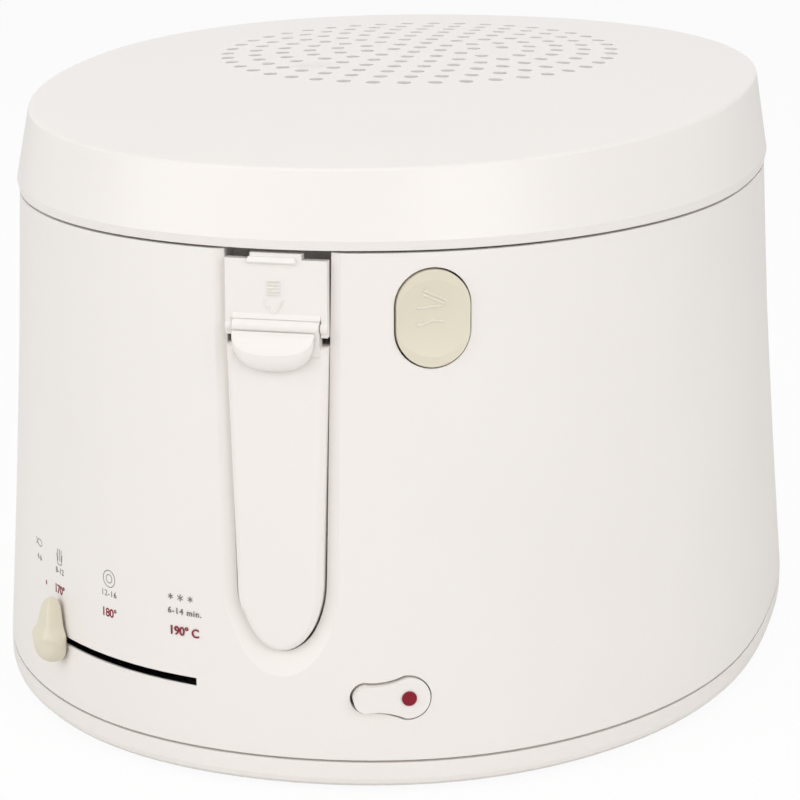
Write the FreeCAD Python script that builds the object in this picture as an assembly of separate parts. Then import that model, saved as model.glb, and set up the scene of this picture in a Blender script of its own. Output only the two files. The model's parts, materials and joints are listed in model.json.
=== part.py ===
import FreeCAD, Part
import math
import os

V = FreeCAD.Vector
os.makedirs("parts", exist_ok=True)

# Driving dimensions in millimetres: casing
top_width = 280.0
base_width = 303.0
front_reach = 200.0
top_back_reach = 165.0
base_back_reach = 185.0
front_fullness = 2.14
top_back_fullness = 2.2
base_back_fullness = 2.9
flare_power = 1.25
seam_height = 184.5
groove_height = 12.0
groove_gap = 0.8
casing_wall = 2.6
oval_points = 16

# Deck and bowl
deck_drop = 2.5
deck_thickness = 3.6
bowl_side_inset = 22.0
bowl_front_inset = 38.0
bowl_back_inset = 26.0
bowl_wall = 1.6
bowl_draft = 9.0
bowl_floor = 60.0
bowl_corner = 14.0
bowl_flange_width = 8.0
bowl_flange_thickness = 1.4
corner_steps = 3
seat_clearance = 0.4

# Handle and its recess
handle_half_width = 16.9
handle_low_half_width = 14.6
handle_low_height = 75.0
handle_tip_height = 49.4
tip_points = 6
grip_top = 154.0
grip_proud = 0.5
grip_depth = 12.5
grip_edge = 2.2
grip_wall = 3.0
recess_depth = 13.5
recess_gap = 0.8
recess_dish = 3.2
recess_slope = 2.5
hinge_line_height = 160.0
hinge_line_depth = 1.0
barrel_radius = 2.6
barrel_half_length = 14.4
handle_pin_radius = 1.25
running_clearance = 0.05
plate_top = 182.0
plate_inset = 0.5
plate_depth = 4.0
plate_gap = 3.0
lip_width = 17.0
lip_height = 2.0
thumb_proud = 4.5
thumb_thickness = 2.6
thumb_bottom = 144.8
thumb_top_gap = 1.0
thumb_half_width = 14.8
thumb_dish = 1.1
thumb_travel = 4.0
stem_half_width = 3.0
stem_height = 3.6
stem_depth = 1.5
stem_foot = 0.9
stem_foot_spread = 1.6
slide_clearance = 0.3

# Basket and its hanger
basket_lift = 35.0
basket_gap = 7.0
basket_wall = 1.2
basket_floor_gap = 6.0
basket_rim = 152.0
basket_taper = 6.0
basket_corner = 10.0
rim_wire = 3.2
hanger_half_width = 10.0
hanger_thickness = 2.2
hanger_drop = 40.0
hanger_leg_depth = 27.0
hanger_bar_depth = 6.5
hanger_clearance = 3.0
basket_slots = 36
slot_width = 5.0
mesh_pitch = 12.0
mesh_bar = 2.0

# Lid
lid_gap = 0.8
lid_bulge = 0.8
lid_bulge_height = 5.0
lid_draft = 4.0
lid_ridge_height = 219.2
lid_rise = 5.3
lid_slope = 0.043
lid_edge_radius = 1.6
edge_steps = 3
dome_steps = 4
lid_wall = 2.6
grille_centre = 27.0
grille_rings = 7
grille_pitch_x = 11.0
grille_pitch_y = 12.2
grille_hole_radius = 2.7
liner_height = 190.0
liner_thickness = 1.6
liner_gap = 1.0
seal_inset_side = 18.0
seal_inset_front = 17.0
seal_inset_back = 23.0
seal_width = 3.0
seal_gap = 0.3
filter_half_width = 62.0
filter_half_length = 70.0
filter_thickness = 9.0
steam_slots = 4
steam_pitch = 11.0
steam_width = 5.0
steam_half_length = 34.0

# Rear hinge
hinge_offset = 7.0
seat_reach = 14.0
knuckle_radius = 5.0
hinge_pin_radius = 2.5
lid_knuckle_half_span = 34.0
lid_knuckle_length = 16.0
bracket_ear_length = 8.0
hinge_side_gap = 0.5
bracket_drop = 26.0
spring_gap = 0.4

# Lid button and latch
button_x = 49.4
button_height = 163.0
button_width = 24.2
button_length = 32.0
button_gap = 0.6
button_proud = 0.6
button_depth = 7.0
button_dish_radius = 62.0
button_dish_depth = 1.3
button_travel = 3.0
collar_wall = 1.8
collar_depth = 8.0
hook_width = 10.0
hook_thickness = 2.4
latch_gap = 0.6
latch_half_height = 5.0
hook_depth = 14.0
hook_clearance = 1.4
hook_drop = 9.0
hook_barb = 2.0

# Rocker switch
rocker_x = 35.4
rocker_height = 34.2
rocker_big_radius = 7.2
rocker_small_radius = 4.8
rocker_spacing = 13.8
rocker_gap = 0.7
rocker_depth = 6.0
rocker_waist = 1.0
rocker_proud = 1.0
rocker_tilt = 13.0
rocker_pivot_depth = 3.5
rocker_pivot_radius = 1.2
lens_radius = 2.5
lens_proud = 0.5
switch_width = 30.0
switch_height = 20.0
switch_depth = 18.0

# Thermostat slider
slider_height = 35.0
slider_start_x = -90.4
slider_end_x = -34.4
slot_height = 2.8
slot_lip = 0.9
slot_relief = 3.0
slot_end_gap = 1.2
stem_size = 1.7
knob_height = 24.0
knob_foot_radius = 6.2
knob_head_radius = 3.4
knob_waist = 0.8
knob_depth = 9.0
knob_wall_gap = 0.8
knob_lift = 3.5
lever_half_width = 5.0
lever_thickness = 2.0
lever_hub_radius = 9.0
shaft_radius = 3.0
thermostat_radius = 15.0

# Base and inner pieces
base_bottom = 1.8
base_wall = 2.6
base_edge_radius = 3.5
spigot_height = 9.0
spigot_gap = 0.3
foot_radius = 9.0
foot_sink = 1.2
foot_x = 96.0
foot_front = 110.0
foot_back = 112.0
boss_inset = 7.0
boss_top = 32.0
vent_count = 7
vent_pitch = 12.0
vent_width = 4.0
vent_half_length = 30.0
boss_radius = 5.0
screw_radius = 1.7
screw_head_radius = 3.2
screw_head_height = 2.0
element_radius = 3.5
element_half_width = 62.0
element_half_length = 92.0
shield_gap = 9.0
shield_thickness = 0.8
gland_radius = 7.0
gland_height = 31.0
gland_x = 60.0
gland_length = 16.0
gland_flange = 2.5
cord_radius = 3.6
terminal_length = 30.0
terminal_width = 16.0
terminal_height = 14.0

# Derived places
thumb_reach = front_reach + thumb_proud
plan_y = (thumb_reach - base_back_reach) / 2
front_face = plan_y - front_reach
deck_top = seam_height - deck_drop
base_top = groove_height - groove_gap
hinge_y = plan_y + top_back_reach + hinge_offset
hinge_z = seam_height
handle_y = front_face + hinge_line_depth


def box(x0, x1, y0, y1, z0, z1):
    """Block between two corners."""
    return Part.makeBox(x1 - x0, y1 - y0, z1 - z0, V(x0, y0, z0))


def rod(start, direction, radius, length):
    """Round bar from a start point along a direction."""
    return Part.makeCylinder(radius, length, start, direction)


def cross_bar(half_length, y, z, radius):
    """Round bar across the object, centred on its middle plane."""
    return rod(V(-half_length, y, z), V(1, 0, 0), radius, 2 * half_length)


def side_profile(points, x0, x1):
    """Closed outline in the YZ plane, extruded across X."""
    corners = [V(x0, y, z) for y, z in points]
    face = Part.Face(Part.makePolygon(corners + corners[:1]))
    return face.extrude(V(x1 - x0, 0, 0))


def flare_at(height):
    """Share of the casing's flare at a height: none at the seam, all of it at the groove."""
    fall = (seam_height - height) / (seam_height - groove_height)
    return math.copysign(abs(fall) ** flare_power, fall)


def back_fullness(height):
    """Fullness of the back half: near an ellipse from the seam upwards, squarer towards the base."""
    return top_back_fullness + (base_back_fullness - top_back_fullness) * max(0, flare_at(height))


def oval_point(half_width, front, back, height, turn, slope=0):
    """Point of a superellipse whose front and back halves have their own reach and fullness."""
    c, s = math.cos(turn), math.sin(turn)
    reach, power = (back, back_fullness(height)) if s >= 0 else (front, front_fullness)
    x = half_width * math.copysign(abs(c) ** (2 / power), c)
    y = reach * math.copysign(abs(s) ** (2 / power), s)
    return V(x, plan_y + y, height + slope * y)


def oval(half_width, front, back, height, slope=0):
    """Closed smooth outline through points of the superellipse, in a plane that may rise to the back."""
    step = 2 * math.pi / oval_points
    points = [oval_point(half_width, front, back, height, step * i, slope) for i in range(oval_points)]
    curve = Part.BSplineCurve()
    curve.interpolate(Points=points, PeriodicFlag=True)
    return Part.Wire(curve.toShape())


def oval_solid(sections):
    """Solid through ovals, each given as (half width, front reach, back reach, height, slope or none)."""
    return Part.makeLoft([oval(*section) for section in sections], True, True)


def oval_slab(half_width, front, back, low, high):
    """Upright slab with an oval outline."""
    return Part.Face(oval(half_width, front, back, low)).extrude(V(0, 0, high - low))


def casing_section(height, inset):
    """Oval of the casing at a height: it flares towards the base, more at the back than in front."""
    flare = flare_at(height)
    half_width = (top_width + (base_width - top_width) * flare) / 2
    back = top_back_reach + (base_back_reach - top_back_reach) * flare
    return (half_width - inset, front_reach - inset, back - inset, height)


def casing_block(low, high, inset):
    """Solid of the casing's form between two heights, drawn in by an inset."""
    steps = 3
    levels = [low + (high - low) * i / steps for i in range(steps + 1)]
    return oval_solid([casing_section(level, inset) for level in levels])


def front_wall_y(x, height):
    """Depth of the casing's outer front wall at a place across and a height."""
    half_width, front, back, level = casing_section(height, 0)
    return plan_y - front * (1 - abs(x / half_width) ** front_fullness) ** (1 / front_fullness)


def wall_frame(x, height):
    """Placement on the front wall: X to the right along it, Y up, Z straight out."""
    half_width, front, back, level = casing_section(height, 0)
    y = front_wall_y(x, height)
    slope_x = math.copysign(abs(x / half_width) ** (front_fullness - 1) / half_width, x)
    slope_y = -abs((y - plan_y) / front) ** (front_fullness - 1) / front
    out = V(slope_x, slope_y, 0).normalize()
    return facing_frame(V(x, y, height), out)


def facing_frame(place, out):
    """Placement at a place that faces a level direction: X to the right, Y up, Z straight out."""
    right = V(-out.y, out.x, 0)
    return FreeCAD.Placement(FreeCAD.Matrix(
        right.x, 0, out.x, place.x,
        right.y, 0, out.y, place.y,
        0, 1, 0, place.z,
        0, 0, 0, 1))


def placed(shape, frame):
    """Copy of a shape moved into a wall frame."""
    moved = shape.copy()
    moved.Placement = frame.multiply(moved.Placement)
    return moved


def outline_face(edges):
    """Face inside a closed row of edges."""
    return Part.Face(Part.Wire([edge.toShape() for edge in edges]))


def pill(width, length, low, high):
    """Upright obround with round ends above and below, between two depths."""
    r = width / 2
    half = length / 2 - r
    edges = [
        Part.LineSegment(V(r, -half, low), V(r, half, low)),
        Part.Arc(V(r, half, low), V(0, half + r, low), V(-r, half, low)),
        Part.LineSegment(V(-r, half, low), V(-r, -half, low)),
        Part.Arc(V(-r, -half, low), V(0, -half - r, low), V(r, -half, low)),
    ]
    return outline_face(edges).extrude(V(0, 0, high - low))


def keyhole(big, small, spacing, low, high):
    """Two discs of different size joined by slightly hollow flanks, big one to the right."""
    lean = math.asin((big - small) / spacing)
    c, s = math.cos(lean), math.sin(lean)
    half = spacing / 2
    right_up, right_down = V(half - big * s, big * c, low), V(half - big * s, -big * c, low)
    left_up, left_down = V(-half - small * s, small * c, low), V(-half - small * s, -small * c, low)
    waist_up = (right_up + left_up) * 0.5 - V(0, rocker_waist, 0)
    waist_down = (right_down + left_down) * 0.5 + V(0, rocker_waist, 0)
    edges = [
        Part.Arc(right_down, V(half + big, 0, low), right_up),
        Part.Arc(right_up, waist_up, left_up),
        Part.Arc(left_up, V(-half - small, 0, low), left_down),
        Part.Arc(left_down, waist_down, right_down),
    ]
    return outline_face(edges).extrude(V(0, 0, high - low))


def handle_outline(grow, top, y):
    """Tapered outline of the handle seen from the front, half an ellipse at its tip, grown all round."""
    w0, w1 = handle_half_width + grow, handle_low_half_width + grow
    fall = handle_low_height - handle_tip_height + grow
    turns = [math.pi * i / tip_points for i in range(tip_points + 1)]
    tip = [V(w1 * math.cos(t), y, handle_low_height - fall * math.sin(t)) for t in turns]
    curve = Part.BSplineCurve()
    curve.interpolate(Points=tip, InitialTangent=V(0, 0, -1), FinalTangent=V(0, 0, 1))
    edges = [
        Part.LineSegment(V(-w0, y, top), V(w0, y, top)),
        Part.LineSegment(V(w0, y, top), tip[0]),
        curve,
        Part.LineSegment(tip[-1], V(-w0, y, top)),
    ]
    return Part.Wire([edge.toShape() for edge in edges])


def depth(value):
    """Y of a plane that lies a depth behind the casing's front face."""
    return front_face + value


def tub(section, low, high, corner):
    """Oval tub with a round corner over its floor; section(height) gives half width and reaches."""
    levels = []
    for i in range(corner_steps + 1):
        lean = math.pi / 2 * i / corner_steps
        height = low + corner * (1 - math.cos(lean))
        draw = corner * (1 - math.sin(lean))
        half_width, front, back = section(height)
        levels.append((half_width - draw, front - draw, back - draw, height))
    levels.append((*section(high), high))
    return oval_solid(levels)


def bowl_section(height):
    """Half width and reaches of the bowl's outside at a height."""
    inset = bowl_draft * (deck_top - height) / (deck_top - bowl_floor)
    half_width = top_width / 2 - bowl_side_inset - inset
    front = front_reach - bowl_front_inset - inset
    back = top_back_reach - bowl_back_inset - inset
    return (half_width, front, back)


def inset_by(section, amount):
    """Section drawn in by a constant amount."""
    return lambda height: tuple(size - amount for size in section(height))


def recess_tool(grow, top):
    """Channel for the folded handle: straight walls close to it under a shallow sloping dish."""
    gap = recess_gap + grow
    spread = (recess_dish + thumb_proud) * recess_slope
    floor = handle_outline(gap, top, depth(recess_depth + grow))
    edge = handle_outline(gap, top, depth(recess_dish + grow))
    mouth = handle_outline(gap + spread, top, depth(grow - thumb_proud))
    return Part.makeLoft([floor, edge, mouth], True, True)


def slider_circle():
    """Centre and radius of the arc that the thermostat slider follows, through three points of the wall."""
    middle_x = (slider_start_x + slider_end_x) / 2
    places = (slider_start_x, middle_x, slider_end_x)
    ends = [V(x, front_wall_y(x, slider_height), slider_height) for x in places]
    circle = Part.Circle(*ends)
    return circle.Center, circle.Radius, ends


def slider_angles():
    """Direction angles of the slider's two ends, in degrees."""
    centre, radius, ends = slider_circle()
    return [math.degrees(math.atan2(p.y - centre.y, p.x - centre.x)) for p in (ends[0], ends[2])]


def sector(centre, inner, outer, start, end, low, high):
    """Part of a flat ring between two radii, two angles and two heights."""
    base = V(centre.x, centre.y, low)
    ring = Part.makeCylinder(outer, high - low, base, V(0, 0, 1), end - start)
    ring = ring.cut(Part.makeCylinder(inner, high - low, base, V(0, 0, 1), end - start))
    ring.rotate(base, V(0, 0, 1), start)
    return ring


def slider_slot():
    """Cut that lets the slider's stem through the wall along its whole travel."""
    centre, radius, ends = slider_circle()
    start, end = slider_angles()
    spare = math.degrees((stem_half_width + slot_end_gap) / radius)
    reach = knob_depth + casing_wall
    low, high = slider_height - slot_height / 2, slider_height + slot_height / 2
    slot = sector(centre, radius - reach, radius + reach, start - spare, end + spare, low, high)
    relief = sector(centre, radius - reach, radius - slot_lip, start - spare, end + spare,
                    low - slot_relief, high + slot_relief)
    return slot.fuse(relief)


def screw_places():
    """Four places just inside the wall where the base is screwed to the casing."""
    half_width, front, back, level = casing_section(groove_height, boss_inset)
    turns = [math.pi * (0.25 + 0.5 * i) for i in range(4)]
    return [oval_point(half_width, front, back, 0, turn) for turn in turns]


def upright(place, radius, low, high):
    """Upright round bar at a place, between two heights."""
    return rod(V(place.x, place.y, low), V(0, 0, 1), radius, high - low)


def hinge_bracket():
    """Pairs of ears behind the casing that hold the lid's hinge pin, each seated on the curved wall."""
    ears = []
    wall = casing_block(groove_height, seam_height, 0)
    back = hinge_y - hinge_offset - seat_reach
    outline = [
        (back, hinge_z - bracket_drop),
        (hinge_y, hinge_z - knuckle_radius),
        (hinge_y, hinge_z),
        (back, hinge_z - lid_gap),
    ]
    for side in (-1, 1):
        for inner in (lid_knuckle_half_span - lid_knuckle_length / 2 - hinge_side_gap - bracket_ear_length,
                      lid_knuckle_half_span + lid_knuckle_length / 2 + hinge_side_gap):
            x0, x1 = sorted((side * inner, side * (inner + bracket_ear_length)))
            barrel = rod(V(x0, hinge_y, hinge_z), V(1, 0, 0), knuckle_radius, bracket_ear_length)
            ear = side_profile(outline, x0, x1).fuse(barrel)
            ears.append(ear.cut([wall, hinge_hole(0)]))
    return Part.Compound(ears)


def hinge_hole(clearance):
    """Long bar of the hinge pin's size, grown by a clearance."""
    half_length = lid_knuckle_half_span + lid_knuckle_length / 2 + hinge_side_gap + bracket_ear_length
    return cross_bar(half_length, hinge_y, hinge_z, hinge_pin_radius + clearance)


def hanger_window():
    """Opening behind the handle through which the basket's hanger reaches it over its whole lift."""
    half = hanger_half_width + hanger_clearance
    low = hinge_line_height - hanger_drop - hanger_thickness / 2 - hanger_clearance
    high = low + basket_lift + hanger_thickness + 2 * hanger_clearance
    return box(-half, half, depth(recess_depth - casing_wall), depth(hanger_leg_depth), low, high)


def hanger_pocket():
    """Opening in the deck above the hanger, from the recess wall to the bowl."""
    half = hanger_half_width + hanger_clearance
    near, far = depth(recess_depth + 2 * casing_wall), depth(bowl_front_inset + bowl_flange_width)
    return box(-half, half, near, far, deck_top - 2 * deck_thickness, seam_height)


def outer_casing():
    """White shell: flared oval wall, handle recess, deck with the bowl's seat, collars and bosses."""
    inner_top = deck_top - deck_thickness
    body = casing_block(groove_height, seam_height, 0).cut(recess_tool(0, seam_height + lid_gap))
    keep = recess_tool(casing_wall, seam_height + lid_gap)
    body = body.cut(casing_block(groove_height - groove_gap, inner_top, casing_wall).cut(keep))
    half_width, front, back, level = casing_section(seam_height, casing_wall)
    body = body.cut(oval_slab(half_width, front, back, deck_top, seam_height).cut(keep))
    sizes = bowl_section(deck_top)
    opening = [size + seat_clearance for size in sizes]
    seat = [size + bowl_flange_width for size in opening]
    body = body.cut(oval_slab(*opening, inner_top, deck_top))
    body = body.cut(oval_slab(*seat, deck_top - bowl_flange_thickness, deck_top))
    skin = casing_block(groove_height - spigot_height, slider_height, casing_wall / 2)
    bosses = [upright(place, boss_radius, base_bottom + base_wall, boss_top) for place in screw_places()]
    added = [boss.common(skin) for boss in bosses]
    button = wall_frame(button_x, button_height)
    rocker = wall_frame(rocker_x, rocker_height)
    root = -casing_wall * 0.7
    grow = 2 * (button_gap + collar_wall)
    added.append(placed(pill(button_width + grow, button_length + grow, -collar_depth, root), button))
    grow = rocker_gap + collar_wall
    sizes = (rocker_big_radius + grow, rocker_small_radius + grow, rocker_spacing)
    added.append(placed(keyhole(*sizes, -collar_depth, root), rocker))
    body = body.fuse(added)
    grow = 2 * button_gap
    reach = 2 * collar_depth
    cuts = [placed(pill(button_width + grow, button_length + grow, -reach, reach), button)]
    sizes = (rocker_big_radius + rocker_gap, rocker_small_radius + rocker_gap, rocker_spacing)
    cuts.append(placed(keyhole(*sizes, -reach, reach), rocker))
    cuts.append(placed(rocker_pivot(running_clearance), rocker))
    cuts += [slider_slot(), hanger_window(), hanger_pocket(), hook_slot(), gland_hole()]
    cuts += [upright(place, screw_radius, 0, boss_top - boss_radius) for place in screw_places()]
    return body.cut(cuts)


def gland_hole():
    """Round hole for the cord's gland, low in the back wall."""
    start = V(gland_x, plan_y + top_back_reach / 2, gland_height)
    return rod(start, V(0, 1, 0), gland_radius, base_back_reach)


def hook_block(grow, low, high):
    """Upright block where the lid's hook passes behind the button."""
    half = hook_width / 2 + grow
    block = box(-half, half, low - button_height, high - button_height,
                -hook_depth - hook_thickness - grow, -hook_depth + grow)
    return placed(block, wall_frame(button_x, button_height))


def hook_slot():
    """Slot in the deck for the lid's hook."""
    return hook_block(hook_clearance, deck_top - 2 * deck_thickness, seam_height)


def base_tray():
    """Shallow tray that closes the casing from below, with a rounded lower edge and a locating rim."""
    section = lambda height: casing_section(groove_height, 0)[:3]
    tray = tub(section, base_bottom, base_top, base_edge_radius)
    tray = tray.cut(oval_solid([casing_section(groove_height, base_wall)[:3] + (level,)
                                for level in (base_bottom + base_wall, base_top)]))
    outer = [size - casing_wall - spigot_gap for size in casing_section(base_top, 0)[:3]]
    inner = [size - base_wall for size in outer]
    low, high = base_bottom + base_wall, base_top + spigot_height
    rim = oval_slab(*outer, low, high).cut(oval_slab(*inner, low, high))
    lean = casing_block(groove_height - spigot_height, high, casing_wall + spigot_gap)
    tray = tray.fuse(rim.common(lean))
    cuts = []
    for place in screw_places():
        cuts.append(upright(place, boss_radius + spigot_gap, low, high))
        cuts.append(upright(place, screw_radius + spigot_gap, 0, low))
        cuts.append(upright(place, screw_head_radius + spigot_gap, 0, base_bottom + screw_head_height))
    cuts += [upright(place, foot_radius, 0, base_bottom + foot_sink) for place in foot_places()]
    cuts += vent_slots()
    return tray.cut(cuts)


def vent_slots():
    """Row of air slots in the base under the heater."""
    slots = []
    for i in range(vent_count):
        y = plan_y + vent_pitch * (i - (vent_count - 1) / 2) - vent_width / 2
        slots.append(box(-vent_half_length, vent_half_length, y, y + vent_width, 0, base_top))
    return slots


def foot_places():
    """Centres of the four feet."""
    return [V(side * foot_x, plan_y + y, 0) for side in (-1, 1) for y in (-foot_front, foot_back)]


def rubber_feet():
    """Four rubber feet, slightly tapered, sunk in the base."""
    top = base_bottom + foot_sink
    return Part.Compound([Part.makeCone(foot_radius - foot_sink, foot_radius, base_bottom, place).fuse(
        upright(place, foot_radius, base_bottom, top)) for place in foot_places()])


def base_screws():
    """Four screws that hold the base to the casing's bosses."""
    screws = []
    for place in screw_places():
        head = upright(place, screw_head_radius, base_bottom, base_bottom + screw_head_height)
        screws.append(head.fuse(upright(place, screw_radius, base_bottom, boss_top - boss_radius)))
    return Part.Compound(screws)


def inner_bowl():
    """Oil bowl with a flange that rests in the deck and a notch for the hanger."""
    body = tub(bowl_section, bowl_floor, deck_top, bowl_corner)
    flange = [size + bowl_flange_width for size in bowl_section(deck_top)]
    low = deck_top - bowl_flange_thickness
    body = body.fuse(oval_slab(*flange, low, deck_top))
    inside = inset_by(bowl_section, bowl_wall)
    body = body.cut(tub(inside, bowl_floor + bowl_wall, deck_top, bowl_corner - bowl_wall))
    half = hanger_half_width + hanger_clearance
    level = basket_rim - hanger_thickness - hanger_clearance
    front = depth(bowl_front_inset - 2 * bowl_flange_width)
    notch = box(-half, half, front, depth(bowl_front_inset + bowl_draft), level, seam_height)
    return body.cut(notch)


def basket_section(height):
    """Half width and reaches of the basket's outside at a height."""
    low = basket_floor_level()
    inset = bowl_wall + basket_gap + basket_taper * (basket_rim - height) / (basket_rim - low)
    return tuple(size - inset for size in bowl_section(basket_rim))


def basket_floor_level():
    """Height of the underside of the basket's floor."""
    return bowl_floor + bowl_wall + basket_floor_gap


def basket_shell():
    """Tapered tub of sheet before its slots are cut."""
    low = basket_floor_level()
    inside = inset_by(basket_section, basket_wall)
    hollow = tub(inside, low + basket_wall, basket_rim, basket_corner - basket_wall)
    return tub(basket_section, low, basket_rim, basket_corner).cut(hollow)


def basket():
    """Wall of the frying basket, a tapered ring of sheet with tall slots, welded to the floor dish."""
    low = basket_floor_level()
    reach = front_reach
    body = basket_shell().cut(box(-reach, reach, -reach, reach, 0, low + basket_corner))
    cuts = []
    for i in range(basket_slots // 2):
        turn = 180.0 * (i + 0.5) / (basket_slots // 2)
        for band_low, band_high in basket_bands(low):
            slot = box(-reach, reach, -slot_width / 2, slot_width / 2, band_low, band_high)
            slot.rotate(V(0, 0, 0), V(0, 0, 1), turn)
            slot.translate(V(0, plan_y, 0))
            cuts.append(slot)
    return body.cut(cuts)


def basket_floor():
    """Floor of the frying basket, a shallow dish with a round edge and long slots."""
    low = basket_floor_level()
    reach = front_reach
    body = basket_shell().cut(box(-reach, reach, -reach, reach, low + basket_corner, basket_rim))
    floor = [size - basket_corner - mesh_bar for size in basket_section(low)]
    area = oval_slab(*floor, low - mesh_bar, low + basket_corner)
    count = int(2 * front_reach / mesh_pitch)
    bars = []
    for i in range(-count, count):
        y = plan_y + mesh_pitch * i + mesh_bar
        for x0, x1 in ((-reach, -mesh_bar), (mesh_bar, reach)):
            bars.append(box(x0, x1, y, y + mesh_pitch - 2 * mesh_bar, low - mesh_bar, low + basket_corner))
    return body.cut(area.common(Part.Compound(bars)))


def basket_bands(low):
    """Heights of the two rows of slots in the basket's wall."""
    bottom, top = low + basket_corner + mesh_bar, basket_rim - rim_wire - mesh_bar
    middle = (bottom + top) / 2
    return [(bottom, middle - mesh_bar), (middle + mesh_bar, top)]


def basket_rim_wire():
    """Stiff rim round the basket's mouth."""
    outer = [size + rim_wire for size in basket_section(basket_rim)]
    low = basket_rim - rim_wire
    return oval_slab(*outer, low, basket_rim).cut(oval_solid([(*basket_section(level), level)
                                                              for level in (low, basket_rim)]))


def basket_hanger():
    """Bent strip from the basket's rim through the bowl's notch and down behind the recess to the handle."""
    half = hanger_thickness / 2
    top = basket_rim - half
    bar = hinge_line_height - hanger_drop
    rim_front = plan_y - basket_section(basket_rim)[1] - rim_wire
    leg, end = depth(hanger_leg_depth), depth(hanger_bar_depth)
    outline = [
        (rim_front, top + half),
        (leg - half, top + half),
        (leg - half, bar + half),
        (end, bar + half),
        (end, bar - half),
        (leg + half, bar - half),
        (leg + half, top - half),
        (rim_front, top - half),
    ]
    return side_profile(outline, -hanger_half_width, hanger_half_width)


def handle_grip():
    """Handle that folds down over the front: rounded shell, open behind, on a hinge barrel."""
    outside = Part.Face(handle_outline(0, grip_top, depth(-grip_proud)))
    body = outside.extrude(V(0, grip_depth + grip_proud, 0))
    front = depth(-grip_proud)
    edges = [edge for edge in body.Edges if all(abs(v.Y - front) < 1e-6 for v in edge.Vertexes)]
    body = body.makeFillet(grip_edge, edges)
    inside = Part.Face(handle_outline(-grip_wall, grip_top - grip_wall, depth(grip_wall)))
    body = body.cut(inside.extrude(V(0, grip_depth, 0)))
    barrel = cross_bar(barrel_half_length, handle_y, hinge_line_height, barrel_radius)
    arm = box(-barrel_half_length, barrel_half_length, handle_y - barrel_radius + grip_proud,
              handle_y + barrel_radius, grip_top - grip_wall, hinge_line_height)
    body = body.fuse([barrel, arm])
    pin = cross_bar(handle_half_width, handle_y, hinge_line_height, handle_pin_radius + running_clearance)
    return body.cut([pin, thumb_stem(slide_clearance, thumb_travel)])


def thumb_stem(grow, travel):
    """Stem of the thumb slide with a wider foot, grown by a clearance and drawn out along its travel."""
    half = stem_half_width + grow
    high = grip_top - slide_clearance + grow
    low = grip_top - slide_clearance - stem_height - travel - grow
    back = depth(stem_depth + grow)
    stem = box(-half, half, depth(-thumb_proud + thumb_thickness / 2), back, low, high)
    foot_half = half + stem_foot_spread
    foot = box(-foot_half, foot_half, depth(stem_depth - stem_foot - grow), back, low, high)
    return stem.fuse(foot)


def thumb_slide():
    """Dished crescent that the thumb pulls along the handle to free it, on a stem in the grip's T slot."""
    top = hinge_line_height - thumb_top_gap
    y = depth(-thumb_proud)
    left, right = V(-thumb_half_width, y, top), V(thumb_half_width, y, top)
    edges = [Part.LineSegment(left, right), Part.Arc(right, V(0, y, thumb_bottom), left)]
    plate = outline_face(edges).extrude(V(0, thumb_thickness, 0))
    radius = (thumb_half_width ** 2 + thumb_dish ** 2) / (2 * thumb_dish)
    ball = Part.makeSphere(radius, V(0, y - radius + thumb_dish, top))
    return plate.cut(ball).fuse(thumb_stem(0, 0))


def handle_plate():
    """Cover plate above the handle with two lugs for its pin, a lip under the lid and a foot behind."""
    low = hinge_line_height + plate_gap
    front, back = depth(plate_inset), depth(plate_depth)
    half = handle_half_width
    plate = box(-half, half, front, back, low, plate_top)
    lug_low = hinge_line_height - plate_gap
    inner = barrel_half_length + slide_clearance
    lugs = [box(inner, half, front, back, lug_low, low), box(-half, -inner, front, back, lug_low, low)]
    lip = box(-lip_width / 2, lip_width / 2, front, back, plate_top, plate_top + lip_height)
    foot = box(-lip_width / 2, lip_width / 2, back, depth(recess_depth),
               low + plate_gap, plate_top - plate_gap)
    body = plate.fuse(lugs + [lip, foot])
    return body.cut(cross_bar(half, handle_y, hinge_line_height, handle_pin_radius))


def handle_pin():
    """Steel pin of the handle's hinge."""
    return cross_bar(handle_half_width - plate_inset, handle_y, hinge_line_height, handle_pin_radius)


def lid_block(inset, low):
    """Solid of the lid's form: bulging wall, round upper edge and a shallow dome, rising to the back."""
    crown = lid_ridge_height - inset
    radius = max(lid_edge_radius - inset, lid_gap / 2)
    outline = [size - inset for size in casing_section(seam_height, 0)[:3]]
    levels = [(0, 1, low), (-lid_bulge, 1, seam_height + lid_bulge_height)]
    for i in range(edge_steps + 1):
        lean = math.pi / 2 * i / edge_steps
        draw = lid_draft + radius * (1 - math.cos(lean))
        levels.append((draw, 1, crown - radius * (1 - math.sin(lean))))
    for i in range(1, dome_steps):
        share = 1 - i / dome_steps
        levels.append((lid_draft + radius, share, crown + lid_rise * (1 - share ** 2)))
    sections = []
    for draw, share, level in levels:
        slope = lid_slope * min(1, (level - low) / (crown - radius - low))
        sections.append((*[(size - draw) * share for size in outline], level, slope))
    return oval_solid(sections)


def grille_holes():
    """Rings of round holes over the lid's filter."""
    holes = []
    for ring in range(grille_rings + 1):
        count = max(1, 6 * ring)
        for i in range(count):
            turn = 2 * math.pi * (i + 0.5 * (ring % 2)) / count
            place = V(grille_pitch_x * ring * math.cos(turn),
                      plan_y + grille_centre + grille_pitch_y * ring * math.sin(turn), 0)
            holes.append(upright(place, grille_hole_radius, liner_height, lid_ridge_height + 2 * lid_rise))
    return Part.Compound(holes)


def lid_shell():
    """White lid: leaning wall, ridge, and a sloping dome with a grille."""
    low = seam_height + lid_gap
    body = lid_block(0, low)
    body = body.cut(lid_block(lid_wall, low - lid_gap))
    return body.cut(grille_holes())


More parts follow.
